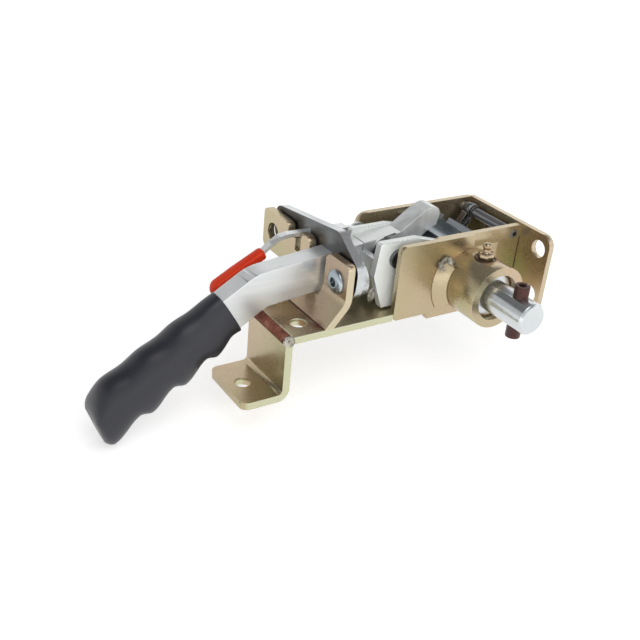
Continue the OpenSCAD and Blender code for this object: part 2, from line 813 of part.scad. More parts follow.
// Moulded sleeve on the end of the lever
module lever_sleeve() {
    color(sleeve_red) at_bolts() difference() {
        translate([0, (arm_y + arm_end) / 2, 0]) across(-sleeve_w / 2, sleeve_w / 2) sleeve_outline();
        across(arm_y - lap, arm_end) strip(arm_path, lever_h);
    }
}

module sleeve_outline() {
    over = 1.2;
    under = lever_h + 2.4;
    start = arm_path[5];
    mid = arm_path[6];
    tip = arm_path[7];
    polygon([start + [-0.6, over], mid + [0, over], tip + [-4, over - 1.8], tip + [-7, -4.6],
        tip + [-6.6, -under - 3], tip + [-3.4, -under - 3.4], mid + [1.4, -under], start + [2.2, -under],
        start + [1.4, -1]]);
}

base_plate();
foot_bracket();
foot_weld();
fork_bracket();
fork_screw();
near_side_plate();
near_inner_plate();
far_side_plate();
end_plate();
bearing_boss();
boss_weld();
near_bush();
far_bush();
grease_nipple();
cross_rod();
rod_collar();
holding_pawl();
holding_spring();
drive_shaft();
cross_pin();
drive_wheel();
holding_wheel();
wheel_key();
near_washer();
far_washer();
retaining_ring();
handle_bar();
near_cheek();
far_cheek();
cheek_block();
keeper_plate();
handle_grip();
pawl_pin();
pawl_spacer();
drive_pawl();
drive_spring();
release_lever();
lever_sleeve();
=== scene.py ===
import math

import bpy
import bmesh
from mathutils import Matrix, Vector, noise


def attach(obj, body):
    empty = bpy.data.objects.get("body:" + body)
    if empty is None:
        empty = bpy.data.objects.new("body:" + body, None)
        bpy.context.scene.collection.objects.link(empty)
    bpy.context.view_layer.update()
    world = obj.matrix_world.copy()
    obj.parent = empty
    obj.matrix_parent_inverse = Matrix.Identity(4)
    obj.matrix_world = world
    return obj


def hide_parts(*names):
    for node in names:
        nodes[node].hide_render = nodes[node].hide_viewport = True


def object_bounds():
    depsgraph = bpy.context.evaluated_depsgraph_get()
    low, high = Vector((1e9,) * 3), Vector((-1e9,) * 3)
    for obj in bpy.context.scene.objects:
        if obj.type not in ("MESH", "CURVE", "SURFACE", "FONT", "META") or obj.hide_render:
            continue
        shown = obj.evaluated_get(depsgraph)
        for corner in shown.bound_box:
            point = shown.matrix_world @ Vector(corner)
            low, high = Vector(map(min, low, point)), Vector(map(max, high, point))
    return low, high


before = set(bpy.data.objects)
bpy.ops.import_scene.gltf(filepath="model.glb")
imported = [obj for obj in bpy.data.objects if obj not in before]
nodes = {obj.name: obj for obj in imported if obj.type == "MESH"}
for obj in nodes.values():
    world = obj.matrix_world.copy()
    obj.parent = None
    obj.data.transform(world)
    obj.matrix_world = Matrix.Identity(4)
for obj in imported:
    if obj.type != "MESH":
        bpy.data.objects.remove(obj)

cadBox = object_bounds()  # the solids' own box
scene = bpy.context.scene
scene.view_settings.view_transform = "Standard"
print("frame loaded:", len(nodes), "nodes")


def place(x, y, z):  # housing millimetres, shaft axis at x = z = 0, to the part's metres
    return Vector(((x - 50) / 1000, (y + 14.5) / 1000, (z - 3) / 1000))


# camera at the photograph's viewing angle, with its slight roll
cameraSetup = {
    "place": (-0.43889, -0.38167, 0.25283),
    "right": (0.84395, -0.52933, 0.08696),
    "down": (-0.19056, -0.44737, -0.87381),
    "forward": (0.50144, 0.72088, -0.47843),
    "lens": 51.48,
}


def makeCamera(setup):
    data = bpy.data.cameras.new("photoCamera")
    data.lens = setup["lens"]
    data.sensor_width = 36
    data.clip_start = 0.01
    camera = bpy.data.objects.new("photoCamera", data)
    scene.collection.objects.link(camera)
    right, down, forward = (Vector(setup[k]) for k in ("right", "down", "forward"))
    turn = Matrix((right, -down, -forward)).transposed().to_4x4()
    camera.matrix_world = Matrix.Translation(Vector(setup["place"])) @ turn
    scene.camera = camera


makeCamera(cameraSetup)
print("camera set")


# node helpers
def addNode(tree, kind, x=0, y=0, **values):
    node = tree.nodes.new(kind)
    node.location = (x, y)
    for key, value in values.items():
        setattr(node, key, value)
    return node


def link(tree, source, target):
    tree.links.new(source, target)


def feed(tree, socket, value):  # a number, a colour or another node's output
    if isinstance(value, tuple):
        socket.default_value = (*value, 1)
    elif isinstance(value, (int, float)):
        socket.default_value = value
    else:
        link(tree, value, socket)


def mathNode(tree, operation, *values):
    node = addNode(tree, "ShaderNodeMath", operation=operation)
    for socket, value in zip(node.inputs, values):
        feed(tree, socket, value)
    return node.outputs[0]


def mixColor(tree, factor, a, b):
    node = addNode(tree, "ShaderNodeMix", data_type="RGBA")
    for index, value in ((0, factor), (6, a), (7, b)):  # the sockets of a colour mix
        feed(tree, node.inputs[index], value)
    return node.outputs[2]


def remap(tree, value, fromLow, fromHigh, toLow=0.0, toHigh=1.0):  # held at both ends
    node = addNode(tree, "ShaderNodeMapRange")
    labels = ("Value", "From Min", "From Max", "To Min", "To Max")
    for label, given in zip(labels, (value, fromLow, fromHigh, toLow, toHigh)):
        feed(tree, node.inputs[label], given)
    return node.outputs[0]


def startGroup(name, inputs, outputs):
    tree = bpy.data.node_groups.new(name, "ShaderNodeTree")
    for label, kind, value in inputs:
        socket = tree.interface.new_socket(label, in_out="INPUT", socket_type=kind)
        socket.default_value = value
    for label, kind in outputs:
        tree.interface.new_socket(label, in_out="OUTPUT", socket_type=kind)
    source = addNode(tree, "NodeGroupInput", -900)
    target = addNode(tree, "NodeGroupOutput", 700)
    return tree, source.outputs, target.inputs


floatKind, colorKind, vectorKind = "NodeSocketFloat", "NodeSocketColor", "NodeSocketVector"


def makeZincFilm():  # drifting green and pink tints of a chromate film
    tree, given, result = startGroup("zincFilm", [
        ("Color", colorKind, (0.5, 0.4, 0.2, 1)), ("Green", colorKind, (0.4, 0.5, 0.2, 1)),
        ("Pink", colorKind, (0.6, 0.4, 0.3, 1)), ("Amount", floatKind, 0.5), ("Scale", floatKind, 30.0),
        ("Seed", floatKind, 0.0)], [("Color", colorKind), ("Cloud", floatKind)])
    spot = addNode(tree, "ShaderNodeTexCoord", -900, -300).outputs["Object"]
    clouds = []
    for shift, factor in ((0.0, 1.0), (7.3, 0.62), (3.1, 5.0)):  # the green, the pink and a fine cloud
        cloud = addNode(tree, "ShaderNodeTexNoise", -500, noise_dimensions="4D")
        link(tree, spot, cloud.inputs["Vector"])
        link(tree, mathNode(tree, "ADD", given["Seed"], shift), cloud.inputs["W"])
        link(tree, mathNode(tree, "MULTIPLY", given["Scale"], factor), cloud.inputs["Scale"])
        cloud.inputs["Detail"].default_value = 3
        clouds.append(cloud.outputs["Fac"])
    tinted = given["Color"]
    for cloud, tint in zip(clouds, ("Green", "Pink")):
        mask = mathNode(tree, "MULTIPLY", remap(tree, cloud, 0.42, 0.68), given["Amount"])
        tinted = mixColor(tree, mask, tinted, given[tint])
    link(tree, tinted, result["Color"])
    link(tree, clouds[2], result["Cloud"])
    return tree


def makeGrain():  # streaks along one way of the piece, for rolled, ground or brushed faces
    tree, given, result = startGroup("grain", [
        ("Stretch", vectorKind, (10, 600, 600)), ("Seed", floatKind, 0.0), ("Low", floatKind, 0.35),
        ("High", floatKind, 0.65)], [("Streak", floatKind)])
    spot = addNode(tree, "ShaderNodeTexCoord", -900, -300).outputs["Object"]
    scale = addNode(tree, "ShaderNodeVectorMath", -700, operation="MULTIPLY")
    link(tree, spot, scale.inputs[0])
    link(tree, given["Stretch"], scale.inputs[1])
    streak = addNode(tree, "ShaderNodeTexNoise", -400, noise_dimensions="4D")
    link(tree, scale.outputs[0], streak.inputs["Vector"])
    link(tree, given["Seed"], streak.inputs["W"])
    streak.inputs["Scale"].default_value = 1
    streak.inputs["Detail"].default_value = 4
    streak.inputs["Roughness"].default_value = 0.6
    link(tree, remap(tree, streak.outputs["Fac"], given["Low"], given["High"]), result["Streak"])
    return tree


def makeSpeckle():  # small dark spots: dust, pits and handling marks
    tree, given, result = startGroup("speckle", [
        ("Scale", floatKind, 300.0), ("Threshold", floatKind, 0.62), ("Softness", floatKind, 0.08),
        ("Seed", floatKind, 0.0)], [("Mask", floatKind)])
    spot = addNode(tree, "ShaderNodeTexCoord", -900, -300).outputs["Object"]
    cloud = addNode(tree, "ShaderNodeTexNoise", -500, noise_dimensions="4D")
    link(tree, spot, cloud.inputs["Vector"])
    link(tree, given["Scale"], cloud.inputs["Scale"])
    link(tree, given["Seed"], cloud.inputs["W"])
    cloud.inputs["Detail"].default_value = 5
    full = mathNode(tree, "ADD", given["Threshold"], given["Softness"])
    link(tree, remap(tree, cloud.outputs["Fac"], given["Threshold"], full), result["Mask"])
    return tree


groups = {"film": makeZincFilm(), "grain": makeGrain(), "speckle": makeSpeckle()}
print("shader groups made")


def startMaterial(name):
    material = bpy.data.materials.new(name)
    material.use_nodes = True
    tree = material.node_tree
    return material, tree, tree.nodes["Principled BSDF"]


def useGroup(tree, name, **values):
    node = addNode(tree, "ShaderNodeGroup", -500)
    node.node_tree = groups[name]
    for key, value in values.items():
        socket = node.inputs[key]
        socket.default_value = (*value, 1) if socket.type == "RGBA" else value
    return node


def bumpFrom(tree, shader, height, strength, distance):
    bump = addNode(tree, "ShaderNodeBump", -200, -300)
    bump.inputs["Strength"].default_value = strength
    bump.inputs["Distance"].default_value = distance
    link(tree, height, bump.inputs["Height"])
    link(tree, bump.outputs[0], shader.inputs["Normal"])


def spread(tree, value, low, high):  # 0..1 to low..high
    return mathNode(tree, "ADD", mathNode(tree, "MULTIPLY", value, high - low), low)


# places that a mark shares with the piece there, in housing millimetres
nippleSeat = (0.0, -14.0, 20.4)
screwAxis = (11.5, 10.0)
rodAxis = (40.4, 23.6)

# marks: the spot, the weight of each axis, the metres at which the mark starts to fade and ends, the tint
heatTint = (place(-110, 7, -15.5), (0.8, 0.6, 1.2), (0.0003, 0.0044), (0.25, 0.095, 0.06))
# painted shade: a dark ring on the boss round the nipple's seat, where the seat's edge lies in shade
seatPaintedShade = (place(*nippleSeat), (1, 1, 0.3), (0.0060, 0.0078), (0.12, 0.09, 0.05))
# painted shade: a dark disc in the screw head's hex socket
socketPaintedShade = (place(0, *screwAxis), (0, 1, 1), (0.0027, 0.0031), (0.045, 0.060, 0.065))
# painted shade: a near-black spot on the rod's end, standing for its centre hole
holePaintedShade = (place(rodAxis[0], 0, rodAxis[1]), (1, 0, 1), (0.0011, 0.0021), (0.012, 0.012, 0.013))

# cut: the axis across a plate's sheared edges, or through its faces, and the colour of those edges
plateTint = {"color": (0.47, 0.395, 0.24), "green": (0.43, 0.43, 0.235), "pink": (0.56, 0.41, 0.31),
             "amount": 0.75, "scale": 24, "rough": (0.20, 0.36), "metallic": 0.90}
zincLooks = {
    "yellowZinc": plateTint,
    "plateZinc": {**plateTint, "cut": ("Y", "across", (0.60, 0.62, 0.43)), "mark": heatTint},
    "forkZinc": {**plateTint, "cut": ("Y", "across", (0.62, 0.54, 0.38)), "mark": heatTint},
    "wallZinc": {**plateTint, "cut": ("Y", "through", (0.50, 0.42, 0.29))},
    # painted light: the end plate's yellow zinc made lighter than the other plates, for the light it shows
    "litFlangeZinc": {**plateTint, "color": (0.62, 0.52, 0.33), "cut": ("X", "through", (0.54, 0.45, 0.32))},
    # the boss carries the painted shade round the nipple's seat
    "bossZinc": {**plateTint, "mark": seatPaintedShade},
    "nippleZinc": {**plateTint, "color": (0.36, 0.29, 0.17), "rough": (0.14, 0.24), "scale": 90},
    "yellowEdge": {"color": (0.64, 0.63, 0.45), "green": (0.58, 0.66, 0.46), "pink": (0.72, 0.62, 0.50),
                   "amount": 0.7, "scale": 60, "rough": (0.22, 0.36), "metallic": 0.8},
    "whiteEdge": {"color": (0.78, 0.81, 0.82), "green": (0.74, 0.80, 0.80), "pink": (0.82, 0.81, 0.82),
                  "amount": 0.4, "scale": 60, "rough": (0.22, 0.34), "metallic": 0.85},
    # the screw carries painted shade in its hex socket
    "screwZinc": {"color": (0.40, 0.46, 0.50), "green": (0.36, 0.44, 0.49), "pink": (0.50, 0.53, 0.58),
                  "amount": 0.6, "scale": 120, "rough": (0.16, 0.26), "metallic": 0.95, "mark": socketPaintedShade},
    "bronze": {"color": (0.40, 0.29, 0.14), "green": (0.36, 0.29, 0.13), "pink": (0.44, 0.30, 0.17),
               "amount": 0.5, "scale": 60, "rough": (0.35, 0.5), "metallic": 0.9},
    "blueSteel": {"color": (0.32, 0.36, 0.39), "green": (0.30, 0.35, 0.37), "pink": (0.36, 0.36, 0.40),
                  "amount": 0.5, "scale": 50, "rough": (0.28, 0.42), "metallic": 0.9},
    "brownPin": {"color": (0.070, 0.035, 0.030), "green": (0.055, 0.034, 0.028), "pink": (0.13, 0.040, 0.034),
                 "amount": 0.7, "scale": 110, "rough": (0.30, 0.48), "metallic": 0.7},
    "weldSilver": {"color": (0.36, 0.34, 0.29), "green": (0.15, 0.13, 0.10), "pink": (0.60, 0.58, 0.52),
                   "amount": 1.0, "scale": 330, "rough": (0.30, 0.5), "metallic": 0.8, "bump": 0.3},
}


def edgeMask(tree, axis, way):  # 1 on the faces that look along the axis, or on all the others
    split = addNode(tree, "ShaderNodeSeparateXYZ", -700)
    link(tree, addNode(tree, "ShaderNodeTexCoord", -900).outputs["Normal"], split.inputs[0])
    mask = remap(tree, mathNode(tree, "ABSOLUTE", split.outputs[axis]), 0.75, 0.97)
    return mask if way == "across" else mathNode(tree, "SUBTRACT", 1.0, mask)


def spotMask(tree, spot, weigh, reach):  # 1 at a spot, or along an axis with no weight, fading to 0
    gap = addNode(tree, "ShaderNodeVectorMath", -700, operation="SUBTRACT")
    link(tree, addNode(tree, "ShaderNodeTexCoord", -900).outputs["Object"], gap.inputs[0])
    gap.inputs[1].default_value = spot
    flat = addNode(tree, "ShaderNodeVectorMath", -600, operation="MULTIPLY")
    link(tree, gap.outputs[0], flat.inputs[0])
    flat.inputs[1].default_value = weigh
    away = addNode(tree, "ShaderNodeVectorMath", -500, operation="LENGTH")
    link(tree, flat.outputs[0], away.inputs[0])
    return remap(tree, away.outputs["Value"], *reach, 1.0, 0.0)


def addMark(tree, color, look):  # painted shade round the nipple's seat, in the screw's socket and in the rod's centre hole; heat tint by a weld
    if "mark" not in look:
        return color
    spot, weigh, reach, tint = look["mark"]
    return mixColor(tree, spotMask(tree, spot, weigh, reach), color, tint)


zincWear = {"dustScale": 420, "dustFrom": 0.66, "dustShare": 0.14, "dustShade": 0.55, "cutShare": 0.8,
            "bump": 0.02, "depth": 0.0006}


def makeZinc(name, look):
    material, tree, shader = startMaterial(name)
    wear = zincWear
    film = useGroup(tree, "film", Color=look["color"], Green=look["green"], Pink=look["pink"],
                    Amount=look["amount"], Scale=look["scale"])
    dust = useGroup(tree, "speckle", Scale=wear["dustScale"], Threshold=wear["dustFrom"])
    dusty = mathNode(tree, "MULTIPLY", dust.outputs[0], wear["dustShare"])
    dustTint = tuple(c * wear["dustShade"] for c in look["color"])
    color = mixColor(tree, dusty, film.outputs["Color"], dustTint)
    if "cut" in look:
        axis, way, edge = look["cut"]
        cut = mathNode(tree, "MULTIPLY", edgeMask(tree, axis, way), wear["cutShare"])
        color = mixColor(tree, cut, color, edge)
    link(tree, addMark(tree, color, look), shader.inputs["Base Color"])
    link(tree, spread(tree, film.outputs["Cloud"], *look["rough"]), shader.inputs["Roughness"])
    shader.inputs["Metallic"].default_value = look["metallic"]
    bumpFrom(tree, shader, film.outputs["Cloud"], look.get("bump", wear["bump"]), wear["depth"])
    return material


steelLooks = {
    "whiteZinc": {"color": (0.66, 0.68, 0.685), "streak": (0.78, 0.80, 0.80), "stretch": (10, 160, 160),
                  "rough": (0.28, 0.42), "metallic": 0.80, "bump": 0.03, "marks": 0.35},
    "whiteZincAcross": {"color": (0.68, 0.70, 0.70), "streak": (0.77, 0.79, 0.79), "stretch": (160, 160, 10),
                        "rough": (0.28, 0.42), "metallic": 0.60, "bump": 0.03, "marks": 0.35},
    # painted light: a lighter, less metallic copy of the white zinc, so that the cheeks come out bright
    "litCheekZinc": {"color": (0.74, 0.77, 0.74), "streak": (0.80, 0.82, 0.79), "stretch": (160, 160, 10),
                  "rough": (0.34, 0.48), "metallic": 0.25, "bump": 0.02, "marks": 0.25},
    "turnedZinc": {"color": (0.58, 0.61, 0.625), "streak": (0.64, 0.67, 0.68), "stretch": (8, 260, 8),
                   "rough": (0.20, 0.26), "metallic": 0.95, "bump": 0.0, "marks": 0.08},
    # the rod carries the painted shade of its centre hole
    "rodSteel": {"color": (0.26, 0.265, 0.275), "streak": (0.34, 0.345, 0.355), "stretch": (200, 14, 200),
                 "rough": (0.26, 0.36), "metallic": 0.9, "bump": 0.01, "marks": 0.2, "mark": holePaintedShade},
    "darkSteel": {"color": (0.11, 0.112, 0.115), "streak": (0.17, 0.172, 0.175), "stretch": (300, 20, 300),
                  "rough": (0.24, 0.38), "metallic": 0.9, "bump": 0.03, "marks": 0.3},
    "darkEdge": {"color": (0.40, 0.41, 0.42), "streak": (0.52, 0.53, 0.54), "stretch": (300, 60, 300),
                 "rough": (0.2, 0.32), "metallic": 0.9, "bump": 0.02, "marks": 0.2},
}


steelWear = {"markScale": 150, "markFrom": 0.62, "markSoft": 0.1, "markShade": 0.72, "depth": 0.0003}


def makeSteel(name, look):
    material, tree, shader = startMaterial(name)
    wear = steelWear
    grain = useGroup(tree, "grain", Stretch=look["stretch"])
    marks = useGroup(tree, "speckle", Scale=wear["markScale"], Threshold=wear["markFrom"],
                     Softness=wear["markSoft"], Seed=4)
    color = mixColor(tree, grain.outputs[0], look["color"], look["streak"])
    color = mixColor(tree, mathNode(tree, "MULTIPLY", marks.outputs[0], look["marks"]), color,
                     tuple(c * wear["markShade"] for c in look["color"]))
    link(tree, addMark(tree, color, look), shader.inputs["Base Color"])
    link(tree, spread(tree, grain.outputs[0], *look["rough"]), shader.inputs["Roughness"])
    shader.inputs["Metallic"].default_value = look["metallic"]
    bumpFrom(tree, shader, grain.outputs[0], look["bump"], wear["depth"])
    return material


keeperLook = {"face": (0.085, 0.088, 0.086), "sheen": (0.20, 0.205, 0.21), "rim": (0.62, 0.64, 0.65),
              "rimShade": 0.78, "rough": (0.24, 0.36), "metallic": 0.9, "bump": 0.03}


def makeKeeper(name, look):  # dark oxide on the flat faces, bare metal on the cut rim
    material, tree, shader = startMaterial(name)
    cloud = useGroup(tree, "speckle", Scale=28, Threshold=0.42, Softness=0.3, Seed=3)
    scratch = useGroup(tree, "grain", Stretch=(200, 14, 200), Seed=5)
    dark = mixColor(tree, cloud.outputs[0], look["face"], look["sheen"])
    rim = mixColor(tree, scratch.outputs[0], look["rim"], tuple(c * look["rimShade"] for c in look["rim"]))
    link(tree, mixColor(tree, edgeMask(tree, "X", "across"), rim, dark), shader.inputs["Base Color"])
    link(tree, spread(tree, scratch.outputs[0], *look["rough"]), shader.inputs["Roughness"])
    shader.inputs["Metallic"].default_value = look["metallic"]
    bumpFrom(tree, shader, scratch.outputs[0], look["bump"], steelWear["depth"])
    return material


softLooks = {
    "gripRubber": {"color": (0.018, 0.019, 0.026), "worn": (0.024, 0.025, 0.032), "rough": (0.36, 0.44),
                   "pores": 900, "bump": 0.05, "shine": 0.5},
    "sleevePlastic": {"color": (0.60, 0.030, 0.004), "worn": (0.68, 0.046, 0.007), "rough": (0.40, 0.50),
                      "pores": 500, "bump": 0.04, "shine": 0.25},
}


def makeSoft(name, look):
    material, tree, shader = startMaterial(name)
    pores = useGroup(tree, "speckle", Scale=look["pores"], Threshold=0.45, Softness=0.2, Seed=2)
    worn = useGroup(tree, "speckle", Scale=35, Threshold=0.5, Softness=0.25, Seed=8)
    link(tree, mixColor(tree, worn.outputs[0], look["color"], look["worn"]), shader.inputs["Base Color"])
    link(tree, spread(tree, worn.outputs[0], *look["rough"]), shader.inputs["Roughness"])
    shader.inputs["Specular IOR Level"].default_value = look["shine"]
    bumpFrom(tree, shader, pores.outputs[0], look["bump"], 0.0004)
    return material


weldLook = {"color": (0.20, 0.062, 0.036), "ash": (0.30, 0.13, 0.085), "soot": (0.07, 0.035, 0.025),
            "rough": 0.62, "metallic": 0.25, "bump": 0.4}


def makeWeld(name, look):
    material, tree, shader = startMaterial(name)
    ash = useGroup(tree, "speckle", Scale=220, Threshold=0.48, Softness=0.16, Seed=1)
    soot = useGroup(tree, "speckle", Scale=320, Threshold=0.56, Softness=0.1, Seed=6)
    color = mixColor(tree, ash.outputs[0], look["color"], look["ash"])
    color = mixColor(tree, soot.outputs[0], color, look["soot"])
    link(tree, color, shader.inputs["Base Color"])
    shader.inputs["Roughness"].default_value = look["rough"]
    shader.inputs["Metallic"].default_value = look["metallic"]
    bumpFrom(tree, shader, soot.outputs[0], look["bump"], 0.0008)
    return material


looks = {name: makeZinc(name, look) for name, look in zincLooks.items()}
looks.update({name: makeSteel(name, look) for name, look in steelLooks.items()})
looks.update({name: makeSoft(name, look) for name, look in softLooks.items()})
looks["weldMetal"] = makeWeld("weldMetal", weldLook)
looks["keeperSteel"] = makeKeeper("keeperSteel", keeperLook)
print("materials made:", len(looks))


# each solid's face and edge finish, and the width of its broken edges in millimetres; the end plate's and the
# cheeks' face colours carry painted light
dress = {
    "plateZinc": ("yellowEdge", 0.45, ["base_plate", "foot_bracket"]),
    "forkZinc": ("yellowEdge", 0.45, ["fork_bracket"]),
    "wallZinc": ("yellowEdge", 0.45, ["near_side_plate", "near_inner_plate", "far_side_plate"]),
    # the end plate takes the lighter copy of the yellow zinc, painted light
    "litFlangeZinc": ("yellowEdge", 0.45, ["end_plate"]),
    "bossZinc": ("yellowEdge", 0.45, ["bearing_boss"]),
    "whiteZinc": ("whiteEdge", 0.5, ["handle_bar", "cheek_block", "release_lever", "pawl_spacer"]),
    "whiteZincAcross": ("whiteEdge", 0.5, ["drive_pawl"]),
    # the cheeks take the lighter copy of the white zinc, painted light
    "litCheekZinc": ("whiteEdge", 0.5, ["near_cheek", "far_cheek"]),
    "rodSteel": ("darkEdge", 0.3, ["cross_rod"]),
    "turnedZinc": ("whiteEdge", 0.4, ["drive_shaft"]),
    "keeperSteel": ("keeperSteel", 0.5, ["keeper_plate"]),
    "darkSteel": ("darkEdge", 0.3, ["rod_collar", "wheel_key", "retaining_ring", "pawl_pin", "holding_pawl"]),
    "blueSteel": ("darkEdge", 0.3, ["drive_wheel", "holding_wheel"]),
    "bronze": ("bronze", 0.2, ["near_bush", "far_bush", "near_washer", "far_washer"]),
    "brownPin": ("brownPin", 0.4, ["cross_pin"]),
}


def softenEdges(piece, width):
    weld = piece.modifiers.new("weld", "WELD")
    weld.merge_threshold = 0.000002
    bevel = piece.modifiers.new("brokenEdge", "BEVEL")
    bevel.width = width / 1000
    bevel.segments = 2
    bevel.limit_method = "ANGLE"
    bevel.angle_limit = math.radians(38)
    bevel.material = 1
    bevel.use_clamp_overlap = True
    bevel.harden_normals = True


for face, (edge, width, names) in dress.items():
    for name in names:
        piece = nodes[name]
        piece.data.materials.clear()
        piece.data.materials.append(looks[face])
        piece.data.materials.append(looks[edge])
        softenEdges(piece, width)
print("solids dressed")


# pieces made here in place of plain solids
def addPiece(name, data, look, body, node):
    piece = bpy.data.objects.new(name, data)
    scene.collection.objects.link(piece)
    data.materials.append(looks[look])
    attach(piece, body)
    if node:
        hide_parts(node)
    return piece


def loft(name, rings):  # skin over rings of points in housing millimetres
    mesh = bpy.data.meshes.new(name)
    count = len(rings[0])
    points = [place(*p) for ring in rings for p in ring]
    faces = []
    for start in range(0, (len(rings) - 1) * count, count):
        for k in range(count):
            after = (k + 1) % count
            faces.append((start + k, start + after, start + count + after, start + count + k))
    faces.append(tuple(range(count)))
    faces.append(tuple(range((len(rings) - 1) * count, len(rings) * count)))
    mesh.from_pydata(points, [], faces)
    shape = bmesh.new()
    shape.from_mesh(mesh)
    bmesh.ops.recalc_face_normals(shape, faces=shape.faces)
    shape.to_mesh(mesh)
    shape.free()
    mesh.shade_smooth()
    return mesh


def roundPower(value, power):  # keeps the sign, for squared-off round sections
    return math.copysign(abs(value) ** power, value)


def lerp(a, b, share):
    return tuple(u + (v - u) * share for u, v in zip(a, b))


def roundAngles(count):
    return [2 * math.pi * k / count for k in range(count)]


def hexRadius(radius, angle, hexed):  # round at 0; at 1 a hexagon of that corner radius, flat at angle 0
    part = (angle + math.pi / 6) % (math.pi / 3) - math.pi / 6
    return radius * (1 + hexed * (math.cos(math.pi / 6) / math.cos(part) - 1))


# lengths in millimetres; starts, spans and periods as shares of the grip's length
gripSetup = {
    "length": 101.5, "width": 27, "height": 33, "rings": 150, "sides": 72,
    "neck": 18.5, "droop": 31.5, "bend": (-130.794, 34.75, -17.41), "lift": 22, "bar": (6.5, 11.8),
    "groove": 2.5, "grooveMiddle": 0.2, "grooveStart": 0.08, "period": 0.25, "firstRidge": 0.205, "fall": 0.3,
    "mouthWidth": 0.7, "widening": 0.32, "widest": 0.35, "above": 0.44, "below": 0.5, "deepening": 0.26,
    "ripple": 0.65, "rippleTop": 0.30, "ripplePeriod": 0.255, "rippleStart": 0.25, "rippleEnd": (1, 0.7, 0.3),
    "sideEnd": (5, 0.95, 0.05), "topEnd": (15, 0.82, 0.18), "lowEnd": (2, 0.965, 0.035),
    "square": 0.75, "rounder": 0.2, "lean": 0.2, "leanFrom": 0.7,
}


def gripPoint(setup, share, angle):  # the moulded form at a share of its length
    def rounded(key):  # a depth, reached along a quarter circle
        depth, start, span = setup[key]
        k = max(0.0, min(0.995, (share - start) / span))
        return depth * (1 - math.sqrt(1 - k * k))

    def until(key):  # 0 at the mouth, 1 from that share on
        return min(1, share / setup[key])

    turn = (share - setup["firstRidge"]) / setup["period"] % 1
    fall = setup["fall"]
    if turn < fall:  # a ridge falls off faster on the side away from the mouth
        swing = math.cos(math.pi * turn / fall)
    else:
        swing = -math.cos(math.pi * (turn - fall) / (1 - fall))
    wave = until("grooveStart") * (setup["grooveMiddle"] + setup["groove"] * swing)
    ripple = setup["ripple"] * math.cos(2 * math.pi * (share - setup["rippleTop"]) / setup["ripplePeriod"])
    ripple *= until("rippleStart") * (1 - rounded("rippleEnd"))
    wide = setup["mouthWidth"] + setup["widening"] * until("widest")
    half = setup["width"] / 2 * wide - rounded("sideEnd")
    up = setup["height"] * setup["above"] + ripple - rounded("topEnd")
    low = setup["height"] * setup["below"] * (1 + setup["deepening"] * share) + wave - rounded("lowEnd")
    c, n = math.cos(angle), math.sin(angle)
    square = setup["square"] + setup["rounder"] * until("widest") * (n > 0)  # rounder above, clear of the bar
    z = (up if n > 0 else low) * roundPower(n, square)
    lean = setup["lean"] * max(0, (share - setup["leanFrom"]) / (1 - setup["leanFrom"])) ** 2
    return (lean * z - setup["length"] * share, half * roundPower(c, square), z)


def gripSet(setup, p):  # from the grip's own axis to the housing
    a = math.radians(setup["droop"])
    x, y, z = p[0] - setup["neck"], p[1], p[2] + setup["lift"]
    bx, by, bz = setup["bend"]
    return (bx + x * math.cos(a) - z * math.sin(a), by + y, bz + x * math.sin(a) + z * math.cos(a))


def makeGrip(setup):
    angles = roundAngles(setup["sides"])
    barHalf, barHigh = setup["bar"]
    rings = []
    for depth, out in ((3.0, 0.0), (0.3, 0.0), (0.0, 0.2), (0.0, 0.7), (0.15, 0.92)):  # rim of the mouth
        share = depth / setup["length"]
        ring = []
        for a in angles:
            skin = gripPoint(setup, share, a)
            core = (-depth, barHalf * roundPower(math.cos(a), 0.2), barHigh * roundPower(math.sin(a), 0.2))
            ring.append(lerp(core, skin, out))
        rings.append(ring)
    for i in range(setup["rings"] + 1):
        k = i / setup["rings"]
        share = 0.005 + 0.995 * (1 - (1 - k) ** 1.35)  # closer together towards the end
        rings.append([gripPoint(setup, share, a) for a in angles])
    last = rings[-1]
    middle = tuple(sum(p[i] for p in last) / len(last) for i in range(3))
    for inward in (0.12, 0.4, 0.75):
        rings.append([lerp(p, middle, inward) for p in last])
    mesh = loft("moulded grip", [[gripSet(setup, p) for p in ring] for ring in rings])
    addPiece("mouldedGrip", mesh, "gripRubber", "handle", "handle_grip")


makeGrip(gripSetup)
print("grip made")


sleeveSetup = {
    "top": [(-123.1, 16.6), (-142.5, 6.4), (-154.5, -0.4)],
    "low": [(-120.3, 10.4), (-141.1, 0.2), (-153.9, -8.2)],
    "middle": 58.2, "half": 4.2, "square": 0.6, "sides": 40, "rings": 40,
    "rim": 0.86, "rimShare": 0.03, "nose": 4.2, "noseRings": 8, "noseWay": (-0.84, -0.54),
}


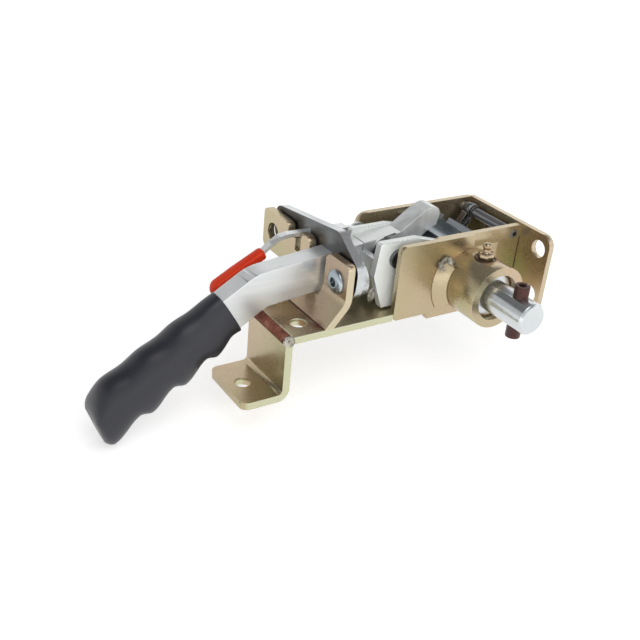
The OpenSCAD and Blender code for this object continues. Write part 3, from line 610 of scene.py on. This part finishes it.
def makeSleeve(setup):
    def along(line, share):
        part = share * (len(line) - 1)
        i = min(int(part), len(line) - 2)
        return lerp(line[i], line[i + 1], part - i)

    rings = []
    for i in range(setup["rings"] + 1):
        share = i / setup["rings"]
        size = setup["rim"] + (1 - setup["rim"]) * math.sqrt(min(1, share / setup["rimShare"]))
        rings.append((along(setup["top"], share), along(setup["low"], share), size, 0))
    for i in range(1, setup["noseRings"] + 1):
        k = i / setup["noseRings"]
        rings.append((setup["top"][-1], setup["low"][-1], math.sqrt(max(0.02, 1 - k * k)), setup["nose"] * k))
    wayX, wayZ = setup["noseWay"]
    shape = []
    for top, low, size, ahead in rings:
        mid = lerp(top, low, 0.5)
        ring = []
        for a in roundAngles(setup["sides"]):
            across = size * roundPower(math.cos(a), setup["square"])
            up = size * roundPower(math.sin(a), setup["square"])
            x = mid[0] + (top[0] - mid[0]) * up + wayX * ahead
            z = mid[1] + (top[1] - mid[1]) * up + wayZ * ahead
            ring.append((x, setup["middle"] + setup["half"] * across, z))
        shape.append(ring)
    mesh = loft("dipped sleeve", shape)
    addPiece("dippedSleeve", mesh, "sleevePlastic", "release", "lever_sleeve")


makeSleeve(sleeveSetup)
print("sleeve made")


# head: radius and distance from the fork's face; socket: the same and how hexagonal it is
screwSetup = {
    "middle": screwAxis, "face": -96, "sides": 48,
    "head": [(4.0, 4.9), (4.0, 0.1), (7.8, 0.0), (7.8, -1.0), (7.5, -1.55), (6.7, -2.1), (5.4, -2.6),
             (4.2, -2.85), (3.3, -2.95)],
    "socket": [(3.05, -2.85, 1), (2.9, -2.6, 1), (2.9, -0.9, 1), (1.45, -0.5, 0.5)],
}


def makeScrew(setup):
    y, z = setup["middle"]

    def ring(radius, ahead, hexed=0):
        points = []
        for a in roundAngles(setup["sides"]):
            r = hexRadius(radius, a, hexed)
            points.append((setup["face"] + ahead, y + r * math.cos(a), z + r * math.sin(a)))
        return points

    rings = [ring(*row) for row in setup["head"] + setup["socket"]]
    addPiece("buttonScrew", loft("button screw", rings), "screwZinc", "frame", "fork_screw")


makeScrew(screwSetup)
print("screw made")


# hex: share of the corner radius and height above the seat; stem: radius and height
nippleSetup = {
    "seat": nippleSeat, "flats": 4.6, "sides": 48,
    "hex": [(0.84, -2.0), (0.94, 0.0), (1.0, 0.35), (1.0, 3.5), (0.9, 4.1)],
    "stem": [(3.1, 4.3), (2.5, 5.2), (2.3, 6.6), (2.5, 7.1), (3.05, 7.8), (3.2, 8.6), (2.9, 9.5), (2.1, 10.3),
             (1.3, 10.7), (0.8, 10.5)],
}


def makeNipple(setup):
    x, y, z = setup["seat"]
    corner = setup["flats"] / math.cos(math.pi / 6)

    def ring(radius, up, hexed):
        points = []
        for a in roundAngles(setup["sides"]):
            r = hexRadius(radius, a + math.pi / 6, hexed)
            points.append((x + r * math.cos(a), y + r * math.sin(a), z + up))
        return points

    rings = [ring(corner * size, up, 1) for size, up in setup["hex"]]
    rings += [ring(r, up, 0) for r, up in setup["stem"]]
    mesh = loft("grease fitting", rings)
    addPiece("greaseFitting", mesh, "nippleZinc", "frame", "grease_nipple")


makeNipple(nippleSetup)
print("nipple made")


footWeldSetup = {"corner": (-131, -20.5), "radius": 4.75, "length": 46, "from": 88, "over": 94, "steps": 138,
                 "around": 14, "ripple": 2.3, "height": 0.22, "chevron": 1.6, "rough": 0.5}


def makeFootWeld(setup):  # quarter-round bead with chevron ripples along it
    rings = []
    cx, cz = setup["corner"]
    for i in range(setup["steps"] + 1):
        y = setup["length"] * i / setup["steps"]
        ring = [(cx, y, cz)]
        for k in range(setup["around"] + 1):
            share = k / setup["around"]
            a = math.radians(setup["from"] + setup["over"] * share)
            arch = math.sin(math.pi * share)
            ripple = math.sin(2 * math.pi * (y - setup["chevron"] * arch) / setup["ripple"])
            rough = noise.noise(Vector((y * 0.45, k * 0.35, 2.0)))
            r = setup["radius"] + (setup["height"] * ripple + setup["rough"] * rough) * abs(arch) ** 0.5
            ring.append((cx + r * math.cos(a), y, cz + r * math.sin(a)))
        rings.append(ring)
    addPiece("footBead", loft("foot bead", rings), "weldMetal", "frame", "foot_weld")


bossWeldSetup = {"boss": 21, "leg": 8.3, "rise": 6.6, "belly": 0.7, "from": 138, "over": 84, "steps": 96,
                 "around": 12, "rough": 0.10, "slant": 0.7, "root": 0.3}


def makeBossWeld(setup):  # fillet bead round the boss's side towards the fork
    rings = []
    steps = setup["steps"]
    for i in range(steps + 1):
        a = math.radians(setup["from"] + setup["over"] * i / steps)
        ends = min(1, 0.55 + 6 * min(i, steps - i) / steps)  # thinner where the bead starts and stops
        ring = []
        for k in range(setup["around"] + 1):
            t = k / setup["around"]
            rough = setup["rough"] * noise.noise(Vector((i * 0.12, t * 2, 5)))
            swell = setup["slant"] * (setup["belly"] * ends + rough) * math.sin(math.pi * t)
            r = setup["boss"] + setup["leg"] * (1 - t) * ends + swell
            ring.append((r * math.cos(a), -setup["rise"] * t * ends - swell - 0.02, r * math.sin(a)))
        r = setup["boss"] - setup["root"]
        ring.append((r * math.cos(a), 0.2, r * math.sin(a)))
        rings.append(ring)
    addPiece("bossBead", loft("boss bead", rings), "yellowZinc", "frame", "boss_weld")


blobs = {
    "bossCrater": {"spot": (-20.9, -1.6, 13.6), "size": (6.4, 3.2, 5.8), "way": (-0.35, -0.86, 0.36),
                   "dent": 0.6, "slot": "yellow_zinc", "body": "frame"},
    "footBlob": {"spot": (-133.4, 0.7, -18.0), "size": (3.9, 2.4, 3.7), "way": (-0.30, -0.80, 0.52),
                 "dent": 0.5, "slot": "weld", "body": "frame"},
    "blockBlob": {"spot": (-66.5, 13.6, -6.0), "size": (2.6, 2.2, 5.0), "way": (-0.6, -0.7, 0.3),
                  "dent": 0.3, "slot": "white_zinc", "body": "handle"},
}


def makeBlob(name, setup):  # rough rim and crater of weld metal where a bead stops
    shape = bmesh.new()
    bmesh.ops.create_icosphere(shape, subdivisions=5, radius=1)
    middle, size, way = (Vector(setup[k]) for k in ("spot", "size", "way"))
    way.normalize()
    for vert in shape.verts:
        lift = max(0.0, vert.co.dot(way))
        pit = setup["dent"] * max(0.0, (lift - 0.72) / 0.28) ** 0.8  # hollow in the middle of the outer side
        rough = 0.26 * noise.noise(vert.co * 2.3 + middle) + 0.20 * noise.noise(vert.co * 5.1 + middle)
        vert.co = place(*(middle + vert.co * size * (0.92 + rough - pit)))
    mesh = bpy.data.meshes.new(name)
    shape.to_mesh(mesh)
    shape.free()
    mesh.shade_smooth()
    addPiece(name, mesh, "weldSilver", setup["body"], None)


makeFootWeld(footWeldSetup)
makeBossWeld(bossWeldSetup)
for name, setup in blobs.items():
    makeBlob(name, setup)
print("welds made")


def makeWire(name, path, radius, look, body, node):
    data = bpy.data.curves.new(name, "CURVE")
    data.dimensions = "3D"
    data.bevel_depth = radius / 1000
    data.bevel_resolution = 4
    data.use_fill_caps = True
    spline = data.splines.new("POLY")
    spline.points.add(len(path) - 1)
    for point, p in zip(spline.points, path):
        point.co = (*place(*p), 1)
    spline.use_smooth = True
    addPiece(name, data, look, body, node)


holdingSpring = {"rod": (rodAxis[0], 44.0, rodAxis[1]), "hook": 4.2, "hookArc": (264, 535), "gap": 1.5,
                 "coil": 1.9, "turns": 6, "pitch": 1.5, "wire": 0.6, "leg": 3, "foot": 45.6, "steps": 24}


def makeHoldingSpring(setup):  # hook round the rod, slanting coil, bent foot
    rx, y, rz = setup["rod"]
    way, side, over = Vector((-0.72, 0, -0.69)), Vector((0.69, 0, -0.72)), Vector((0, 1, 0))
    start = Vector(setup["rod"]) + way * (setup["hook"] + setup["gap"])
    path = []
    for a in range(*setup["hookArc"], 10):
        t = math.radians(a)
        path.append((rx + setup["hook"] * math.cos(t), y, rz + setup["hook"] * math.sin(t)))
    for i in range(setup["steps"] * setup["turns"] + 1):
        t = 2 * math.pi * i / setup["steps"]
        along = way * (setup["pitch"] * i / setup["steps"])
        path.append(start + along + setup["coil"] * (math.cos(t) * side + math.sin(t) * over))
    leg = start + way * (setup["pitch"] * setup["turns"] + setup["leg"])
    path += [leg, (leg.x, setup["foot"], leg.z)]
    makeWire("holdingCoil", path, setup["wire"], "darkSteel", "frame", "holding_spring")


driveSpring = {"pin": (-53, 19.5), "radius": 7.7, "start": 15.5, "pitch": 1.9, "turns": 5, "wire": 0.6,
               "steps": 32, "leg": (9, 0.2, 1)}


def makeDriveSpring(setup):  # coil round the pawl pin with a leg at each end
    px, pz = setup["pin"]
    path = []
    for i in range(setup["steps"] * setup["turns"] + 1):
        t = math.pi / 2 + 2 * math.pi * i / setup["steps"]
        y = setup["start"] + setup["pitch"] * i / setup["steps"]
        path.append(Vector((px + setup["radius"] * math.cos(t), y, pz + setup["radius"] * math.sin(t))))
    leg = Vector(setup["leg"])
    path = [path[0] - leg, *path, path[-1] + leg]
    makeWire("driveCoil", path, setup["wire"], "darkSteel", "handle", "drive_spring")


# fine dark lines where plates meet, and a dark ring of painted shadow round the nipple's seat
seamSetup = {
    "toe": (-108.9, -15.45), "toeLength": 60, "toeWire": 0.5,
    "wall": (45.9, 3.9), "wallReach": (-14, 22), "wallWire": 0.3,
    # the ring of painted shadow round the nipple's seat: radius, sink and wire
    "shadowRingRadius": 6.6, "shadowRingSink": 0.05, "shadowRingWire": 0.45,
}


def makeSeams(setup):
    def wander(spot, row):  # slight waver along a line
        return noise.noise(Vector((spot * 0.3, row, 0)))

    x, z = setup["toe"]
    toePath = [(x, y, z + 0.12 * wander(y, 0)) for y in range(1, setup["toeLength"])]
    makeWire("toeSeam", toePath, setup["toeWire"], "brownPin", "frame", None)
    x, y = setup["wall"]
    wallPath = [(x, y + 0.1 * wander(z, 4), z) for z in range(*setup["wallReach"])]
    makeWire("wallSeam", wallPath, setup["wallWire"], "brownPin", "frame", None)
    # painted shadow: a dark brown ring of wire round the nipple's seat, laid where the seat's edge is in
    # shade
    x, y, z = nippleSeat
    seatShadowPath = []
    for a in range(0, 361, 10):
        t = math.radians(a)
        seatShadowPath.append((x + setup["shadowRingRadius"] * math.cos(t), y + setup["shadowRingRadius"] * math.sin(t),
                         z - setup["shadowRingSink"]))
    makeWire("seatShadowRing", seatShadowPath, setup["shadowRingWire"], "brownPin", "frame", None)


makeHoldingSpring(holdingSpring)
makeDriveSpring(driveSpring)
makeSeams(seamSetup)
print("springs and seams made")


# studio: pale floor, white surround, soft light above and in front, dimmer to the left and overhead
# sky: brightness from straight below, over the horizon at 0.5, to straight above
studio = {
    "floor": (0.80, 0.80, 0.80), "glow": 0.45, "farGlow": 1.0, "fade": (0.25, 0.75),
    "sky": [(0.0, 0.60), (0.5, 1.0), (0.76, 1.20), (0.81, 0.60), (0.85, 0.20), (1.0, 0.18)],
    "sides": (-0.6, 0.45), "left": 0.55, "right": 1.15, "rise": (0.08, 0.30),
    "keyPower": 4.5, "keyPlace": (-0.45, -0.80, 0.40), "keySize": 1.1,
    "topPower": 3.0, "topPlace": (-0.10, -0.40, 0.90), "topSize": 0.8,
}


def cameraSees(tree):  # 1 where the camera, a reflection or glass looks at the floor
    path = addNode(tree, "ShaderNodeLightPath", -900)
    seen = mathNode(tree, "MAXIMUM", path.outputs["Is Camera Ray"], path.outputs["Is Transmission Ray"])
    return mathNode(tree, "MAXIMUM", seen, path.outputs["Is Glossy Ray"])


def makeWorld(setup):
    world = bpy.data.worlds.new("studio")
    scene.world = world
    world.use_nodes = True
    tree = world.node_tree
    back = tree.nodes["Background"]
    split = addNode(tree, "ShaderNodeSeparateXYZ", -600)
    link(tree, addNode(tree, "ShaderNodeTexCoord", -800).outputs["Generated"], split.inputs[0])
    height = addNode(tree, "ShaderNodeValToRGB", -400)
    link(tree, spread(tree, split.outputs["Z"], 0.5, 1.0), height.inputs[0])
    stops = height.color_ramp.elements
    for spot, value in setup["sky"]:
        stop = stops[0] if spot == 0 else stops[-1] if spot == 1 else stops.new(spot)
        stop.color = (value, value, value, 1)
    side = remap(tree, split.outputs["X"], *setup["sides"], setup["left"], setup["right"])
    rise = remap(tree, split.outputs["Z"], *setup["rise"])  # the horizon stays white all round
    lean = mathNode(tree, "MULTIPLY", mathNode(tree, "SUBTRACT", side, 1.0), rise)
    shade = addNode(tree, "ShaderNodeVectorMath", -200, operation="SCALE")
    link(tree, height.outputs[0], shade.inputs[0])
    link(tree, mathNode(tree, "ADD", lean, 1.0), shade.inputs["Scale"])
    link(tree, shade.outputs[0], back.inputs["Color"])


def makeFloor(setup):
    low = cadBox[0].z - 0.0004
    mesh = bpy.data.meshes.new("floor")
    mesh.from_pydata([(-6, -6, low), (6, -6, low), (6, 6, low), (-6, 6, low)], [], [(0, 1, 2, 3)])
    floor = bpy.data.objects.new("floor", mesh)
    scene.collection.objects.link(floor)
    material, tree, shader = startMaterial("paleFloor")
    shader.inputs["Base Color"].default_value = (*setup["floor"], 1)
    shader.inputs["Roughness"].default_value = 0.9
    shader.inputs["Specular IOR Level"].default_value = 0.1
    shader.inputs["Emission Color"].default_value = (1, 1, 1, 1)
    reach = addNode(tree, "ShaderNodeVectorMath", -700, operation="DISTANCE")
    link(tree, addNode(tree, "ShaderNodeTexCoord", -900).outputs["Object"], reach.inputs[0])
    reach.inputs[1].default_value = (cadBox[0] + cadBox[1]) / 2
    fade = remap(tree, reach.outputs["Value"], *setup["fade"], setup["glow"], setup["farGlow"])
    link(tree, mathNode(tree, "MULTIPLY", cameraSees(tree), fade), shader.inputs["Emission Strength"])
    mesh.materials.append(material)


def makeLamp(name, spot, power, size, mirrored):
    data = bpy.data.lights.new(name, "AREA")
    data.energy = power
    data.shape = "DISK"
    data.size = size
    lamp = bpy.data.objects.new(name, data)
    scene.collection.objects.link(lamp)
    middle = (cadBox[0] + cadBox[1]) / 2
    lamp.location = middle + Vector(spot)
    lamp.rotation_euler = (-Vector(spot)).to_track_quat("-Z", "Y").to_euler()
    lamp.visible_glossy = mirrored  # a fill lamp leaves no highlight of its own


makeWorld(studio)
makeFloor(studio)
makeLamp("keyLamp", studio["keyPlace"], studio["keyPower"], studio["keySize"], False)
makeLamp("topLamp", studio["topPlace"], studio["topPower"], studio["topSize"], True)
print("studio set")
